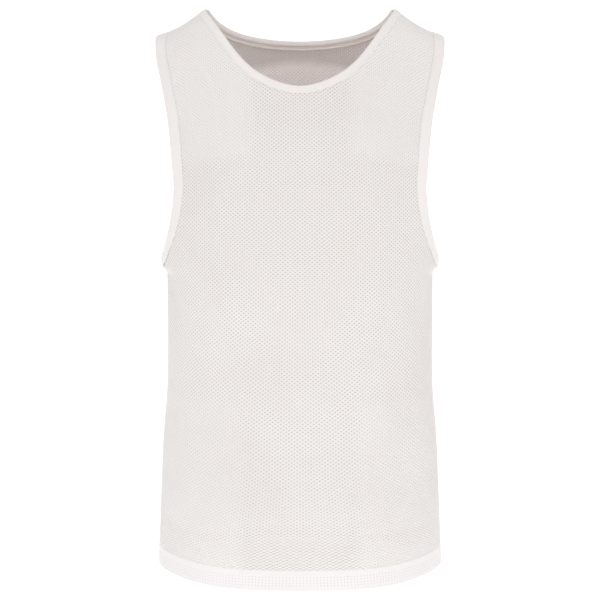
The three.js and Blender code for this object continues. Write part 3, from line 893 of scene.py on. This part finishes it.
def stitches(rows, way, out, closed, mirror=False):
    """Small rounded stitches along edge rows, a given way in from the edge."""
    q, p = moved(rows, way)
    line = cloth(q, p, out)
    up = cloth(q, p, out + 1) - line
    if closed:
        line, up = np.vstack([line, line[:1]]), np.vstack([up, up[:1]])
    ways = travel(line)
    count = int(ways[-1] / STITCH)
    at = (np.arange(count) + 0.5) / count * ways[-1]

    def along_line(table, x):
        return np.stack([np.interp(x, ways, table[:, k]) for k in range(3)], -1)

    ahead, behind = np.minimum(at + 1, ways[-1]), np.maximum(at - 1, 0)
    along = unit(along_line(line, ahead) - along_line(line, behind))
    lift = unit(along_line(up, at))
    axes = np.stack([along, np.cross(along, lift), lift], 1)
    points = (along_line(line, at)[:, None] + one_stitch() @ axes).reshape(-1, 3)
    k, m = np.meshgrid(np.arange(len(STITCH_RINGS) - 1), np.arange(STITCH_SIDES), indexing="ij")
    near, far, following = k * STITCH_SIDES, (k + 1) * STITCH_SIDES, (m + 1) % STITCH_SIDES
    one = np.stack([near + m, near + following, far + following, far + m], -1).reshape(-1, 4)
    starts = np.arange(count) * len(STITCH_RINGS) * STITCH_SIDES
    faces = (starts[:, None, None] + one[None]).reshape(-1, 4)
    return (points * MIRROR if mirror else points), faces


seam("neck_stitches", [stitches(NECK_RING, NECK_BAND - BAND_STITCH_IN, BAND_STITCH_OUT, True)])
seam("armhole_stitches", [
    stitches(ARM_RING, ARM_BAND - BAND_STITCH_IN, BAND_STITCH_OUT, True, mirror)
    for mirror in (False, True)])
seam("hem_stitches", [
    stitches(hem_edge(face, HEM_STITCH_POINTS), way, HEM_STITCH_OUT, False)
    for face in SIDE_NAMES for way in HEM_STITCH_WAYS])

# Floor, light and camera, in metres
# The floor's line from front to back, where it curves up: way back, height
FLOOR_LINE = [(-3.0, -0.95), (1.6, -0.95), (2.0, -0.91), (2.3, -0.8), (2.5, -0.6),
              (2.6, -0.3), (2.62, 0.2), (2.62, 2.4)]
FLOOR_SIDE = 3.2
FLOOR_GLOW, WORLD_GLOW = 0.45, 0.785
# name, place, aim, width and height, power
LIGHTS = [
    ("above", (0, -0.75, 1.35), (0, 0.02, -0.1), (1.4, 0.9), 2.8),
    ("key_left", (-1.1, -2.5, -0.35), (0, 0, -0.4), (1.4, 2.0), 5.2),
    ("key_right", (1.1, -2.5, -0.35), (0, 0, -0.4), (1.4, 2.0), 5.2),
]
# Degrees across the picture, and width of the sensor in millimetres
CAMERA_ANGLE, SENSOR_WIDTH = 22.5, 36.0
CAMERA_PLACE, CAMERA_AIM = (0.0, -1.8, -0.161), (0.0, 0.0, -0.349)


def floor_material():
    """Plain white paint that glows a little."""
    material = bpy.data.materials.new("floor_paint")
    material.use_nodes = True
    paint = material.node_tree.nodes["Principled BSDF"]
    paint.inputs["Base Color"].default_value = (0.9, 0.9, 0.9, 1)
    paint.inputs["Roughness"].default_value = 1.0
    paint.inputs["Specular IOR Level"].default_value = 0.0
    paint.inputs["Emission Color"].default_value = WHITE
    paint.inputs["Emission Strength"].default_value = FLOOR_GLOW
    return material


def make_floor():
    """A sheet that curves up behind the bib."""
    count = len(FLOOR_LINE)
    points = [(x, y, z) for x in (-FLOOR_SIDE, FLOOR_SIDE) for y, z in FLOOR_LINE]
    faces = [(i, i + count, i + count + 1, i + 1) for i in range(count - 1)]
    mesh = bpy.data.meshes.new("floor")
    mesh.from_pydata(points, [], faces)
    mesh.materials.append(floor_material())
    floor = bpy.data.objects.new("floor", mesh)
    bpy.context.scene.collection.objects.link(floor)


def aimed(made, place, aim):
    """Puts a light or a camera at its place, facing its aim."""
    made.location = place
    made.rotation_euler = (Vector(aim) - Vector(place)).to_track_quat("-Z", "Y").to_euler()
    bpy.context.scene.collection.objects.link(made)


make_floor()
for name, place, aim, size, power in LIGHTS:
    light = bpy.data.lights.new(name, "AREA")
    light.shape, light.size, light.size_y = "RECTANGLE", size[0], size[1]
    light.energy = power
    aimed(bpy.data.objects.new(name, light), place, aim)

world = bpy.data.worlds.new("studio")
world.use_nodes = True
world.node_tree.nodes["Background"].inputs["Color"].default_value = WHITE
world.node_tree.nodes["Background"].inputs["Strength"].default_value = WORLD_GLOW
scene = bpy.context.scene
scene.world = world
scene.view_settings.view_transform = "Standard"
scene.view_settings.look = "None"

lens = bpy.data.cameras.new("camera")
lens.sensor_width = SENSOR_WIDTH
lens.lens = SENSOR_WIDTH / 2 / math.tan(math.radians(CAMERA_ANGLE / 2))
camera = bpy.data.objects.new("camera", lens)
aimed(camera, CAMERA_PLACE, CAMERA_AIM)
scene.camera = camera
